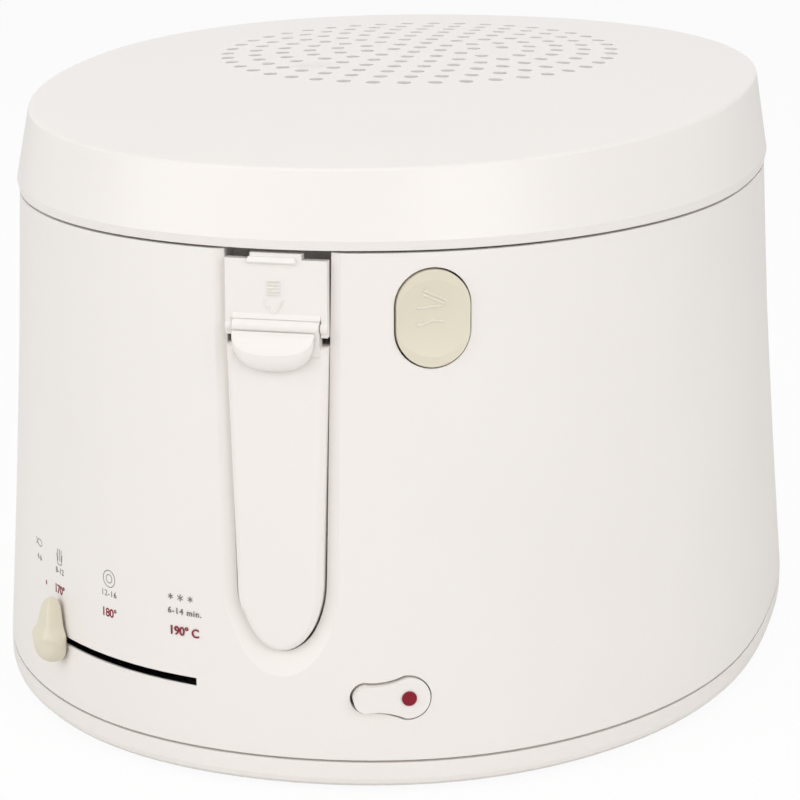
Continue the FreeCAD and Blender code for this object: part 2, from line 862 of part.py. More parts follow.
def lid_knuckles():
    """Two knuckles behind the lid, each seated on its curved wall, that turn on the hinge pin."""
    low = seam_height + lid_gap
    wall = lid_block(0, low)
    back = hinge_y - hinge_offset - seat_reach
    outline = [
        (back, low),
        (hinge_y - knuckle_radius, low),
        (hinge_y, hinge_z - knuckle_radius + lid_gap),
        (hinge_y, hinge_z + knuckle_radius),
        (back, low + bracket_drop / 2),
    ]
    knuckles = []
    for side in (-1, 1):
        x0 = side * lid_knuckle_half_span - lid_knuckle_length / 2
        barrel = rod(V(x0, hinge_y, hinge_z), V(1, 0, 0), knuckle_radius, lid_knuckle_length)
        knuckle = side_profile(outline, x0, x0 + lid_knuckle_length).fuse(barrel)
        knuckles.append(knuckle.cut([wall, hinge_hole(running_clearance)]))
    return Part.Compound(knuckles)


def lid_liner():
    """Inner cover of the lid with steam slots under the filter."""
    sizes = [size - lid_wall - liner_gap for size in casing_section(seam_height, 0)[:3]]
    plate = oval_slab(*sizes, liner_height, liner_height + liner_thickness)
    slots = []
    for i in range(-steam_slots, steam_slots + 1):
        y = plan_y + grille_centre + steam_pitch * i - steam_width / 2
        half = steam_half_length
        slots.append(box(-half, half, y, y + steam_width, seam_height, lid_ridge_height))
    return plate.cut(slots)


def lid_seal():
    """Silicone ring under the lid's inner cover that closes on the bowl's flange and the deck."""
    half_width, front, back = casing_section(seam_height, 0)[:3]
    outer = (half_width - seal_inset_side, front - seal_inset_front, back - seal_inset_back)
    inner = [size - seal_width for size in outer]
    low = deck_top + seal_gap
    return oval_slab(*outer, low, liner_height).cut(oval_slab(*inner, low, liner_height))


def lid_filter():
    """Vapour filter pad between the inner cover and the grille."""
    low = liner_height + liner_thickness
    pad = oval_slab(filter_half_width, filter_half_length, filter_half_length, low, low + filter_thickness)
    pad.translate(V(0, grille_centre, 0))
    return pad


def lid_hook():
    """Hook under the lid that the button's latch holds."""
    half = hook_width / 2
    back = hook_depth + hook_thickness
    stem = hook_block(0, button_height - hook_drop, liner_height)
    barb = box(-half, half, -hook_drop, -hook_drop + hook_barb, -back - hook_barb, -back)
    return stem.fuse(placed(barb, wall_frame(button_x, button_height)))


def hinge_pin():
    """Steel pin of the lid's hinge."""
    return hinge_hole(0)


def hinge_cover():
    """Round cover over the lid's spring between the inner hinge ears."""
    half = cover_half_length()
    tube = cross_bar(half, hinge_y, hinge_z, knuckle_radius)
    tube = tube.cut(cross_bar(half, hinge_y, hinge_z, knuckle_radius - lid_gap))
    return tube


def cover_half_length():
    """Half of the free length between the inner hinge ears."""
    return lid_knuckle_half_span - lid_knuckle_length / 2 - hinge_side_gap - bracket_ear_length


def lid_spring():
    """Torsion spring on the hinge pin that lifts the lid, as a plain sleeve inside its cover."""
    half = cover_half_length() - hinge_side_gap
    outer = knuckle_radius - lid_gap - spring_gap
    return cross_bar(half, hinge_y, hinge_z, outer).cut(cross_bar(half, hinge_y, hinge_z, hinge_pin_radius))


def lid_button():
    """Beige obround button with a dished face."""
    body = pill(button_width, button_length, -button_depth, button_proud)
    middle = button_dish_radius + button_proud - button_dish_depth
    ball = Part.makeSphere(button_dish_radius, V(0, 0, middle))
    return placed(body.cut(ball), wall_frame(button_x, button_height))


def button_latch():
    """Frame behind the button that reaches round the lid's hook, with a nose above the hook's barb."""
    half = hook_width / 2 + latch_gap + hook_thickness
    far = hook_depth + 2 * hook_thickness + hook_barb + latch_gap + button_travel
    low, high = -latch_half_height, latch_half_height
    frame = box(-half, half, low, high, -far, -button_depth)
    inner = half - hook_thickness
    hole = box(-inner, inner, low, high, -far + hook_thickness, -button_depth - hook_thickness)
    tip = hook_depth + hook_thickness + hook_barb + latch_gap
    nose = box(-inner, inner, low, low + hook_thickness, -far, -tip)
    return placed(frame.cut(hole).fuse(nose), wall_frame(button_x, button_height))


def rocker_place():
    """Wall frame of the rocker, turned so that its big end is pressed in."""
    tilt = FreeCAD.Rotation(V(0, 1, 0), rocker_tilt / 2)
    turn = FreeCAD.Placement(V(0, 0, 0), tilt, V(0, 0, -rocker_pivot_depth))
    return wall_frame(rocker_x, rocker_height).multiply(turn)


def rocker_pivot(clearance):
    """Upright pin through the rocker's waist into its collar, grown by a clearance."""
    waist = (rocker_big_radius + rocker_small_radius) / 2 - rocker_waist
    half = waist + rocker_gap + collar_wall / 2 + clearance
    return rod(V(0, -half, -rocker_pivot_depth), V(0, 1, 0), rocker_pivot_radius + clearance, 2 * half)


def power_rocker():
    """Keyhole rocker on two trunnions, with a socket for its lens."""
    body = keyhole(rocker_big_radius, rocker_small_radius, rocker_spacing, -rocker_depth, rocker_proud)
    body = body.fuse(rocker_pivot(0))
    socket = rod(V(rocker_spacing / 2, 0, -rocker_depth / 2), V(0, 0, 1), lens_radius, rocker_depth)
    return placed(body.cut(socket), rocker_place())


def pilot_lens():
    """Red lens in the rocker's big end."""
    lens = rod(V(rocker_spacing / 2, 0, -rocker_depth / 2), V(0, 0, 1), lens_radius,
               rocker_depth / 2 + rocker_proud + lens_proud)
    return placed(lens, rocker_place())


def switch_housing():
    """Body of the switch behind its collar."""
    half, tall = switch_width / 2, switch_height / 2
    body = box(-half, half, -tall, tall, -collar_depth - switch_depth, -collar_depth)
    return placed(body, wall_frame(rocker_x, rocker_height))


def knob_place():
    """Frame of the thermostat knob at its rest, square to the arc that it follows."""
    centre, radius, ends = slider_circle()
    out = (ends[0] - centre).normalize()
    return facing_frame(centre + out * (radius + knob_wall_gap), out)


def knob_profile():
    """Half outline of the knob: a large ball below, a small one above and a hollow flank that joins them."""
    low, high = knob_foot_radius - knob_height / 2, knob_height / 2 - knob_head_radius
    lean = math.asin((knob_foot_radius - knob_head_radius) / (high - low))
    side = V(math.cos(lean), math.sin(lean), 0)
    under = V(math.cos(math.pi / 4), -math.sin(math.pi / 4), 0)
    foot, head = V(0, low, 0), V(0, high, 0)
    bottom, top = V(0, -knob_height / 2, 0), V(0, knob_height / 2, 0)
    foot_side, head_side = foot + side * knob_foot_radius, head + side * knob_head_radius
    waist = (foot_side + head_side) * 0.5 - side * knob_waist
    over = V(under.x, -under.y, 0)
    return [
        Part.Arc(bottom, foot + under * knob_foot_radius, foot_side),
        Part.Arc(foot_side, waist, head_side),
        Part.Arc(head_side, head + over * knob_head_radius, top),
        Part.LineSegment(top, bottom),
    ]


def thermostat_knob():
    """Beige pear-shaped knob, heavy end down over the slot, turned about an upright axis and flat behind."""
    body = outline_face(knob_profile()).revolve(V(0, 0, 0), V(0, 1, 0), 360)
    body.translate(V(0, knob_lift, knob_depth - knob_foot_radius))
    reach = knob_height
    return placed(body.common(box(-reach, reach, -reach, reach, 0, knob_depth)), knob_place())


def thermostat_lever():
    """Flat lever from the thermostat's shaft to the knob, thin where it passes the wall."""
    centre, radius, ends = slider_circle()
    low, high = -lever_thickness / 2, lever_thickness / 2
    inside = radius - casing_wall - stem_half_width
    back = -radius - knob_wall_gap
    arm = box(-lever_half_width, lever_half_width, low, high, back, back + inside)
    stem = box(-stem_half_width, stem_half_width, -stem_size / 2, stem_size / 2, back + inside, 0)
    hub = rod(V(0, low, back), V(0, 1, 0), lever_hub_radius, lever_thickness)
    hole = rod(V(0, low, back), V(0, 1, 0), shaft_radius + running_clearance, lever_thickness)
    return placed(arm.fuse([stem, hub]).cut(hole), knob_place())


def thermostat():
    """Thermostat under the heat shield, with its shaft down through the lever."""
    centre = slider_circle()[0]
    top = bowl_floor - 2 * element_radius - shield_gap
    low = slider_height + lever_thickness / 2 + slide_clearance
    case = upright(centre, thermostat_radius, low, top)
    shaft = upright(centre, shaft_radius, slider_height - lever_thickness, low)
    return case.fuse(shaft)


def heating_element():
    """Sheathed heater in a long loop under the bowl, open at the back."""
    z = bowl_floor - element_radius
    middle = plan_y + bowl_centre_shift()
    straight = element_half_length - element_half_width
    gap = 3 * element_radius
    turn = element_half_width - gap
    bow = turn * math.sqrt(0.5)
    back = middle + element_half_length
    corner = back - turn
    front = middle - straight
    edges = [
        Part.Arc(V(-gap, back, z), V(-gap - bow, corner + bow, z), V(-element_half_width, corner, z)),
        Part.LineSegment(V(-element_half_width, corner, z), V(-element_half_width, front, z)),
        Part.Arc(V(-element_half_width, front, z), V(0, front - element_half_width, z),
                 V(element_half_width, front, z)),
        Part.LineSegment(V(element_half_width, front, z), V(element_half_width, corner, z)),
        Part.Arc(V(element_half_width, corner, z), V(gap + bow, corner + bow, z), V(gap, back, z)),
    ]
    path = Part.Wire([edge.toShape() for edge in edges])
    circle = Part.Wire(Part.makeCircle(element_radius, V(-gap, back, z), V(1, 0, 0)))
    return path.makePipeShell([circle], True, False)


def bowl_centre_shift():
    """Distance from the plan's widest line to the middle of the bowl."""
    half_width, front, back = bowl_section(bowl_floor)
    return (back - front) / 2


def heat_shield():
    """Thin reflector plate under the heater."""
    sizes = [size - bowl_corner - bowl_wall for size in bowl_section(bowl_floor)]
    low = bowl_floor - 2 * element_radius - shield_gap
    return oval_slab(*sizes, low, low + shield_thickness)


def shield_studs():
    """Four studs that hang the reflector from the bowl."""
    low = bowl_floor - 2 * element_radius - shield_gap + shield_thickness
    y0 = plan_y + bowl_centre_shift()
    x, y = element_half_width / 2, element_half_length / 2
    places = [V(sx * x, y0 + sy * y, 0) for sx in (-1, 1) for sy in (-1, 1)]
    return Part.Compound([upright(place, screw_head_radius, low, bowl_floor) for place in places])


def thermal_cutout():
    """Safety cut-out under the reflector."""
    top = bowl_floor - 2 * element_radius - shield_gap
    place = V(element_half_width / 2, plan_y + bowl_centre_shift(), 0)
    return upright(place, thermostat_radius / 2, top - screw_head_height * 3, top)


def terminal_block():
    """Connector block for the mains leads, on the base near the gland."""
    low = base_bottom + base_wall
    y = plan_y + top_back_reach - terminal_length * 2
    block = box(gland_x - terminal_length / 2, gland_x + terminal_length / 2, y - terminal_width / 2,
                y + terminal_width / 2, low, low + terminal_height)
    holes = []
    for i in range(3):
        x = gland_x + terminal_length / 3 * (i - 1)
        holes.append(rod(V(x, y - terminal_width, low + terminal_height / 2), V(0, 1, 0), screw_radius,
                         2 * terminal_width))
    return block.cut(holes)


def cord_gland():
    """Round gland with a flange outside the back wall and a bore for the cord."""
    y = gland_wall_y()
    inner, outer = V(gland_x, y - gland_length, gland_height), V(gland_x, y, gland_height)
    sleeve = rod(inner, V(0, 1, 0), gland_radius, gland_length + gland_flange)
    flange = rod(outer, V(0, 1, 0), gland_radius + gland_flange, gland_flange)
    bore = rod(inner, V(0, 1, 0), cord_radius, 2 * gland_length)
    return sleeve.fuse(flange).cut(bore)


def gland_wall_y():
    """Depth of the back wall's outermost point round the gland."""
    x = gland_x - gland_radius - gland_flange
    half_width, front, back, level = casing_section(gland_height - gland_radius - gland_flange, 0)
    power = back_fullness(level)
    return plan_y + back * (1 - abs(x / half_width) ** power) ** (1 / power)


builders = [
    outer_casing, base_tray, rubber_feet, base_screws, inner_bowl, heating_element, heat_shield,
    shield_studs, thermostat, thermal_cutout, terminal_block, cord_gland, switch_housing,
    handle_plate, handle_pin, hinge_bracket, hinge_pin, hinge_cover, lid_spring, lid_shell,
    lid_knuckles, lid_liner, lid_seal, lid_filter, lid_hook, lid_button, button_latch, power_rocker,
    pilot_lens, thermostat_knob, thermostat_lever, handle_grip, thumb_slide, basket, basket_floor,
    basket_rim_wire, basket_hanger,
]
for builder in builders:
    shape = builder()
    shape.exportStep("parts/" + builder.__name__ + ".step")
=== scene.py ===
import json
import math
import bmesh
import bpy
import numpy as np
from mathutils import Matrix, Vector


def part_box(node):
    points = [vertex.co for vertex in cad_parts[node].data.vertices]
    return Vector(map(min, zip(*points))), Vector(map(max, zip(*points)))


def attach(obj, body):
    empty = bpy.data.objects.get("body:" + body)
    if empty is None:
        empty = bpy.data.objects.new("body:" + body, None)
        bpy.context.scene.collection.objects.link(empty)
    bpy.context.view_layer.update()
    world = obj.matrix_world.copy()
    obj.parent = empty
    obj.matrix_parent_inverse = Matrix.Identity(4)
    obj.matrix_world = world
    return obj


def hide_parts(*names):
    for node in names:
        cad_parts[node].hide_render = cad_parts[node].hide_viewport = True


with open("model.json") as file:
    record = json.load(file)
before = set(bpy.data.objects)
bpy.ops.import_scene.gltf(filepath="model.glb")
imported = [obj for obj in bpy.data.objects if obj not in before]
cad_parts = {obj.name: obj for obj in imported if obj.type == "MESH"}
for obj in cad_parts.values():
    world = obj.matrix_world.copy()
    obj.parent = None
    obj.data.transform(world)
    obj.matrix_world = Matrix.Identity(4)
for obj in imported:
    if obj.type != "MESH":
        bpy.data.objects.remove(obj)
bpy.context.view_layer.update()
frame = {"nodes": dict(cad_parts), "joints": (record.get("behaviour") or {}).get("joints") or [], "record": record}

bl_info = {
    "name": "Deep fryer dressing",
    "version": (1, 0, 0),
    "blender": (4, 5, 0),
    "location": "View3D > Sidebar > Fryer",
    "description": "Finishes, marks and stage for the oval deep fryer",
    "category": "Object",
}

# Form of the casing's front wall, in metres
plan_y = 0.00975
front_reach = 0.2
front_power = 2.14
seam_height = 0.1845
wall_drop = 0.1725
top_half_width = 0.14
flare = 0.0115
flare_power = 1.25

# Rounding of edges and depth of the grain that the finishes show, in metres
edge_radius = 0.0003
grain_depth = 0.0002

# Columns of the printed scale: place across the front in metres, and what stands there
scale_columns = {"low": -0.1028, "170": -0.0901, "180": -0.0651, "190": -0.0343}
scale_figures = {"170": "170°", "180": "180°", "190": "190° C"}
scale_minutes = {"low": "4-6", "170": "8-12", "180": "12-16", "190": "6-14 min."}

# Soft lamps: name, place and side in metres, power in watts
lamps = (
    ("key lamp", (-0.9, -1.5, 1.5), 1.6, 8.8),
    ("left lamp", (-1.5, -1.1, 0.6), 1.4, 9.0),
    ("fill lamp", (1.4, -1.2, 0.9), 1.4, 14.9),
    ("top lamp", (0.0, 0.3, 2.0), 1.8, 11.0),
)


class FryerSizes(bpy.types.PropertyGroup):
    """Sizes and places of the print, the raised marks, the thumb lip and the knob, in metres."""

    figure_row: bpy.props.FloatProperty(
        name="Figure row", description="Height of the temperature figures", default=0.0524, unit="LENGTH")
    minute_row: bpy.props.FloatProperty(
        name="Minute row", description="Height of the minute figures", default=0.0593, unit="LENGTH")
    sign_row: bpy.props.FloatProperty(
        name="Sign row", description="Height of the food signs", default=0.0646, unit="LENGTH")
    figure_size: bpy.props.FloatProperty(
        name="Figure size", description="Height of a temperature figure", default=0.0031, unit="LENGTH")
    figure_weight: bpy.props.FloatProperty(
        name="Figure weight", description="How far a temperature figure's strokes are fattened",
        default=0.00009, unit="LENGTH")
    minute_size: bpy.props.FloatProperty(
        name="Minute size", description="Height of a minute figure", default=0.0022, unit="LENGTH")
    minute_weight: bpy.props.FloatProperty(
        name="Minute weight", description="How far a minute figure's strokes are fattened",
        default=0.00001, unit="LENGTH")
    sign_size: bpy.props.FloatProperty(
        name="Sign size", description="Half of a food sign's height", default=0.0030, unit="LENGTH")
    print_half: bpy.props.FloatProperty(
        name="Print thickness", description="Half of the print's thickness", default=0.00007, unit="LENGTH")
    line_half: bpy.props.FloatProperty(
        name="Line width", description="Half of the width of a printed line", default=0.00016, unit="LENGTH")
    mark_half: bpy.props.FloatProperty(
        name="Mark width", description="Half of the width of a raised mark", default=0.00038, unit="LENGTH")
    mark_proud: bpy.props.FloatProperty(
        name="Mark height", description="How far a raised mark stands proud", default=0.0005, unit="LENGTH")
    lip_top: bpy.props.FloatProperty(
        name="Lip top", description="Height of the thumb lip's upper edge", default=0.1587, unit="LENGTH")
    lip_fall: bpy.props.FloatProperty(
        name="Lip fall", description="Height from the lip's upper edge to its crest",
        default=0.0069, unit="LENGTH")
    lip_depth: bpy.props.FloatProperty(
        name="Lip depth", description="Height of the lip's face below its crest",
        default=0.0060, unit="LENGTH")
    lip_proud: bpy.props.FloatProperty(
        name="Lip reach", description="How far the crest stands out", default=0.0036, unit="LENGTH")
    lip_half_width: bpy.props.FloatProperty(
        name="Lip width", description="Half of the lip's width", default=0.0137, unit="LENGTH")
    knob_x: bpy.props.FloatProperty(
        name="Knob place", description="Place of the knob across the front", default=-0.0904, unit="LENGTH")
    knob_height: bpy.props.FloatProperty(
        name="Knob height", description="Height of the knob", default=0.024, unit="LENGTH")
    knob_foot: bpy.props.FloatProperty(
        name="Knob foot", description="Radius of the knob's round foot", default=0.0067, unit="LENGTH")
    knob_head: bpy.props.FloatProperty(
        name="Knob head", description="Half width of the knob's squarer head", default=0.0030, unit="LENGTH")


class FryerColours(bpy.types.PropertyGroup):
    """Colours of the finishes."""

    white: bpy.props.FloatVectorProperty(
        name="White", description="Moulded white plastic", subtype="COLOR", size=3,
        default=(0.87, 0.829, 0.796))
    beige: bpy.props.FloatVectorProperty(
        name="Beige", description="Button and knob", subtype="COLOR", size=3, default=(0.745, 0.69, 0.553))
    red: bpy.props.FloatVectorProperty(
        name="Red", description="Scale figures and lens", subtype="COLOR", size=3,
        default=(0.25, 0.006, 0.022))
    grey: bpy.props.FloatVectorProperty(
        name="Grey", description="Fine print", subtype="COLOR", size=3, default=(0.22, 0.19, 0.18))
    dark: bpy.props.FloatVectorProperty(
        name="Dark", description="Dark plastic", subtype="COLOR", size=3, default=(0.02, 0.019, 0.018))


def sizes():
    """Sizes set by the user."""
    return bpy.context.scene.fryer_sizes


def colours():
    """Colours set by the user."""
    return bpy.context.scene.fryer_colours


def plate_front():
    """Depth of the handle plate's face."""
    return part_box("handle_plate")[0].y


def new_piece(name, points, faces, body, material):
    """Closed mesh piece at the origin: doubles merged, faces outwards, riding on a body."""
    mesh = bpy.data.meshes.new(name)
    mesh.from_pydata(points.tolist(), [], faces)
    work = bmesh.new()
    work.from_mesh(mesh)
    bmesh.ops.remove_doubles(work, verts=work.verts, dist=1e-7)
    bmesh.ops.dissolve_degenerate(work, edges=work.edges, dist=1e-8)
    bmesh.ops.recalc_face_normals(work, faces=work.faces)
    work.to_mesh(mesh)
    work.free()
    mesh.materials.append(bpy.data.materials[material])
    piece = bpy.data.objects.new(name, mesh)
    bpy.context.scene.collection.objects.link(piece)
    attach(piece, body)
    return piece


def smooth(piece):
    """Shade a piece smoothly."""
    piece.data.polygons.foreach_set("use_smooth", np.ones(len(piece.data.polygons), dtype=bool))


def joined(parts):
    """Points and faces of several parts as one."""
    points, faces, count = [], [], 0
    for part_points, part_faces in parts:
        points.append(part_points)
        faces += [[count + corner for corner in face] for face in part_faces]
        count += len(part_points)
    return np.concatenate(points), faces


def grid_faces(rows, columns, closed_rows):
    """Quads of a grid whose columns wrap round, and whose rows do too when closed."""
    last = rows if closed_rows else rows - 1
    i, j = np.meshgrid(np.arange(last), np.arange(columns), indexing="ij")
    here, below = i * columns, (i + 1) % rows * columns
    across = (j + 1) % columns
    quads = np.stack([here + j, here + across, below + across, below + j], axis=-1)
    return quads.reshape(-1, 4).tolist()


def stroke(path, half_width, half_height, closed=False):
    """Flat tube along a path (across, up): an ellipse carried along it, drawn in to a point at open ends.

    A point is path + side * half_width * cos(s) * e and rises half_height * sin(s) * e, where e is 1 along
    the path and falls as a quarter circle over the last half_width of an open end.
    """
    around = np.linspace(0, 2 * math.pi, 12, endpoint=False)
    if closed:
        ahead = np.roll(path, -1, axis=0) - np.roll(path, 1, axis=0)
        ease = np.ones(len(path))
    else:
        ahead = np.gradient(path, axis=0)
        run = np.concatenate([[0], np.cumsum(np.linalg.norm(np.diff(path, axis=0), axis=1))])
        near_end = np.minimum(np.minimum(run, run[-1] - run) / half_width, 1)
        ease = np.sqrt(1 - (1 - near_end) ** 2)
    ahead = ahead / np.linalg.norm(ahead, axis=1, keepdims=True)
    side = np.stack([-ahead[:, 1], ahead[:, 0]], axis=1)
    flat = path[:, None] + side[:, None] * (half_width * ease[:, None] * np.cos(around))[..., None]
    rise = half_height * ease[:, None] * np.sin(around)
    points = np.concatenate([flat, rise[..., None]], axis=2).reshape(-1, 3)
    return points, grid_faces(len(path), len(around), closed)


def line_path(corners, count=24):
    """Points along straight runs through corners, closer together at both ends."""
    corners = np.array(corners, dtype=float)
    run = np.concatenate([[0], np.cumsum(np.linalg.norm(np.diff(corners, axis=0), axis=1))])
    share = (1 - np.cos(np.linspace(0, math.pi, count))) / 2 * run[-1]
    return np.stack([np.interp(share, run, corners[:, k]) for k in range(2)], axis=1)


def wave_path(corners, count=36):
    """Points of a smooth wave through corners: cosine eased runs between them."""
    corners = np.array(corners, dtype=float)
    share = (1 - np.cos(np.linspace(0, math.pi, count))) / 2 * (len(corners) - 1)
    low = np.minimum(share.astype(int), len(corners) - 2)
    part = share - low
    ease = (1 - np.cos(math.pi * part)) / 2
    across = corners[low, 0] + (corners[low + 1, 0] - corners[low, 0]) * part
    up = corners[low, 1] + (corners[low + 1, 1] - corners[low, 1]) * ease
    return np.stack([across, up], axis=1)


def ring_path(radius, centre=(0, 0), flat=1.0, count=40):
    """Closed ellipse about a centre, flattened upwards by a share."""
    turn = np.linspace(0, 2 * math.pi, count, endpoint=False)
    return np.stack([centre[0] + radius * np.cos(turn), centre[1] + radius * flat * np.sin(turn)], axis=1)


def bar(profile, stations):
    """Bar across the front: a profile (depth, up) at each station (across, share), drawn in by its share.

    A point is middle + share * (profile - middle), so a share of 0 closes an end.
    """
    middle = profile.mean(axis=0)
    section = middle + stations[:, 1, None, None] * (profile - middle)
    across = np.broadcast_to(stations[:, 0, None, None], section.shape[:2] + (1,))
    points = np.concatenate([across, section], axis=2).reshape(-1, 3)
    return points, grid_faces(len(stations), len(profile), False)


def flat_ends(left, right):
    """Stations of a bar that runs straight from left to right and is closed flat at both ends."""
    return np.array([(left, 0), (left, 1), (right, 1), (right, 0)])


def wall_y(x, z):
    """Front wall of the casing: a superellipse whose half width grows from the seam to the base."""
    fall = (seam_height - z) / wall_drop
    half = top_half_width + flare * np.sign(fall) * np.abs(fall) ** flare_power
    return plan_y - front_reach * (1 - np.abs(x / half) ** front_power) ** (1 / front_power)


def wall_axes(x, z):
    """Point on the front wall with its right-hand and outward directions."""
    step = 1e-5
    run = float(wall_y(x + step, z) - wall_y(x - step, z)) / (2 * step)
    right = np.array([1.0, run, 0.0]) / math.hypot(1, run)
    out = np.array([right[1], -right[0], 0.0])
    return np.array([x, float(wall_y(x, z)), z]), right, out


def on_wall(points, x, z):
    """Flat points (across, up, out) laid on the front wall about a place: each takes the wall's own depth."""
    origin, right, out = wall_axes(x, z)
    across = x + points[:, 0] * right[0]
    up = z + points[:, 1]
    placed = np.stack([across, wall_y(across, up), up], axis=1)
    return placed + points[:, 2:3] * out


def new_group(name, inputs, outputs):
    """Empty node group with named sockets; returns it with its inlet and outlet."""
    group = bpy.data.node_groups.new(name, "ShaderNodeTree")
    for way, sockets in (("INPUT", inputs), ("OUTPUT", outputs)):
        for socket, kind in sockets:
            group.interface.new_socket(name=socket, in_out=way, socket_type="NodeSocket" + kind)
    return group, group.nodes.new("NodeGroupInput"), group.nodes.new("NodeGroupOutput")


def noise(group, place, detail):
    """Noise texture on a place."""
    texture = group.nodes.new("ShaderNodeTexNoise")
    texture.inputs["Detail"].default_value = detail
    group.links.new(place, texture.inputs["Vector"])
    return texture


def ranged(group, value, low, high):
    """Value brought from low..high to 0..1; its ends can be set or linked."""
    node = group.nodes.new("ShaderNodeMapRange")
    node.inputs["From Min"].default_value = low
    node.inputs["From Max"].default_value = high
    group.links.new(value, node.inputs["Value"])
    return node


def grain_group():
    """Grain: coarse noise for slight tone and gloss changes, fine noise for the moulded skin."""
    coarse_scale, gloss_swing = 14.0, 0.08
    group, inlet, outlet = new_group(
        "moulded grain",
        (("Colour", "Color"), ("Tone", "Float"), ("Gloss", "Float"), ("Fine", "Float"),
         ("Stretch", "Vector")),
        (("Colour", "Color"), ("Roughness", "Float"), ("Height", "Float")))
    links = group.links
    place = group.nodes.new("ShaderNodeTexCoord")
    mapping = group.nodes.new("ShaderNodeMapping")
    links.new(place.outputs["Object"], mapping.inputs["Vector"])
    links.new(inlet.outputs["Stretch"], mapping.inputs["Scale"])
    coarse = noise(group, mapping.outputs["Vector"], 3.0)
    coarse.inputs["Scale"].default_value = coarse_scale
    fine = noise(group, mapping.outputs["Vector"], 2.0)
    links.new(inlet.outputs["Fine"], fine.inputs["Scale"])
    tone = ranged(group, coarse.outputs["Fac"], 0.3, 0.7)
    links.new(inlet.outputs["Tone"], tone.inputs["To Min"])
    shade = group.nodes.new("ShaderNodeVectorMath")
    shade.operation = "SCALE"
    links.new(inlet.outputs["Colour"], shade.inputs[0])
    links.new(tone.outputs["Result"], shade.inputs["Scale"])
    mixed = group.nodes.new("ShaderNodeMath")
    mixed.operation = "ADD"
    links.new(fine.outputs["Fac"], mixed.inputs[0])
    links.new(coarse.outputs["Fac"], mixed.inputs[1])
    gloss = group.nodes.new("ShaderNodeMath")
    gloss.operation = "MULTIPLY_ADD"
    gloss.inputs[1].default_value = gloss_swing
    links.new(mixed.outputs["Value"], gloss.inputs[0])
    links.new(inlet.outputs["Gloss"], gloss.inputs[2])
    links.new(shade.outputs["Vector"], outlet.inputs["Colour"])
    links.new(gloss.outputs["Value"], outlet.inputs["Roughness"])
    links.new(fine.outputs["Fac"], outlet.inputs["Height"])
    return group


def edge_group():
    """Edges: where a small rounding turns the normal off the face's own, the skin is worn in patches."""
    patch_scale = 160.0
    group, inlet, outlet = new_group(
        "worn edges",
        (("Colour", "Color"), ("Worn", "Color"), ("Roughness", "Float"), ("Polish", "Float"),
         ("Radius", "Float")),
        (("Colour", "Color"), ("Roughness", "Float"), ("Normal", "Vector")))
    links = group.links
    rounding = group.nodes.new("ShaderNodeBevel")
    rounding.samples = 4
    links.new(inlet.outputs["Radius"], rounding.inputs["Radius"])
    surface = group.nodes.new("ShaderNodeNewGeometry")
    agree = group.nodes.new("ShaderNodeVectorMath")
    agree.operation = "DOT_PRODUCT"
    links.new(rounding.outputs["Normal"], agree.inputs[0])
    links.new(surface.outputs["Normal"], agree.inputs[1])
    edge = ranged(group, agree.outputs["Value"], 0.995, 0.85)
    place = group.nodes.new("ShaderNodeTexCoord")
    patches = noise(group, place.outputs["Object"], 4.0)
    patches.inputs["Scale"].default_value = patch_scale
    broken = ranged(group, patches.outputs["Fac"], 0.35, 0.65)
    mask = group.nodes.new("ShaderNodeMath")
    mask.operation = "MULTIPLY"
    links.new(edge.outputs["Result"], mask.inputs[0])
    links.new(broken.outputs["Result"], mask.inputs[1])
    blend = group.nodes.new("ShaderNodeMix")
    blend.data_type = "RGBA"
    links.new(mask.outputs["Value"], blend.inputs[0])
    links.new(inlet.outputs["Colour"], blend.inputs[6])
    links.new(inlet.outputs["Worn"], blend.inputs[7])
    polish = group.nodes.new("ShaderNodeMath")
    polish.operation = "MULTIPLY_ADD"
    links.new(mask.outputs["Value"], polish.inputs[0])
    links.new(inlet.outputs["Polish"], polish.inputs[1])
    links.new(inlet.outputs["Roughness"], polish.inputs[2])
    links.new(blend.outputs[2], outlet.inputs["Colour"])
    links.new(polish.outputs["Value"], outlet.inputs["Roughness"])
    links.new(rounding.outputs["Normal"], outlet.inputs["Normal"])
    return group


def speck_group():
    """Specks: small cells of noise stand out from the ground colour."""
    group, inlet, outlet = new_group(
        "specks",
        (("Colour", "Color"), ("Speck", "Color"), ("Scale", "Float"), ("Spread", "Float")),
        (("Colour", "Color"),))
    links = group.links
    place = group.nodes.new("ShaderNodeTexCoord")
    cells = group.nodes.new("ShaderNodeTexVoronoi")
    links.new(place.outputs["Object"], cells.inputs["Vector"])
    links.new(inlet.outputs["Scale"], cells.inputs["Scale"])
    near = ranged(group, cells.outputs["Distance"], 0.0, 0.3)
    near.inputs["To Min"].default_value = 1.0
    near.inputs["To Max"].default_value = 0.0
    links.new(inlet.outputs["Spread"], near.inputs["From Max"])
    blend = group.nodes.new("ShaderNodeMix")
    blend.data_type = "RGBA"
    links.new(near.outputs["Result"], blend.inputs[0])
    links.new(inlet.outputs["Colour"], blend.inputs[6])
    links.new(inlet.outputs["Speck"], blend.inputs[7])
    links.new(blend.outputs[2], outlet.inputs["Colour"])
    return group


def placed_group(material, name, values):
    """Node group put into a material with its own values."""
    node = material.node_tree.nodes.new("ShaderNodeGroup")
    node.node_tree = bpy.data.node_groups[name]
    for socket, value in values.items():
        node.inputs[socket].default_value = value
    return node


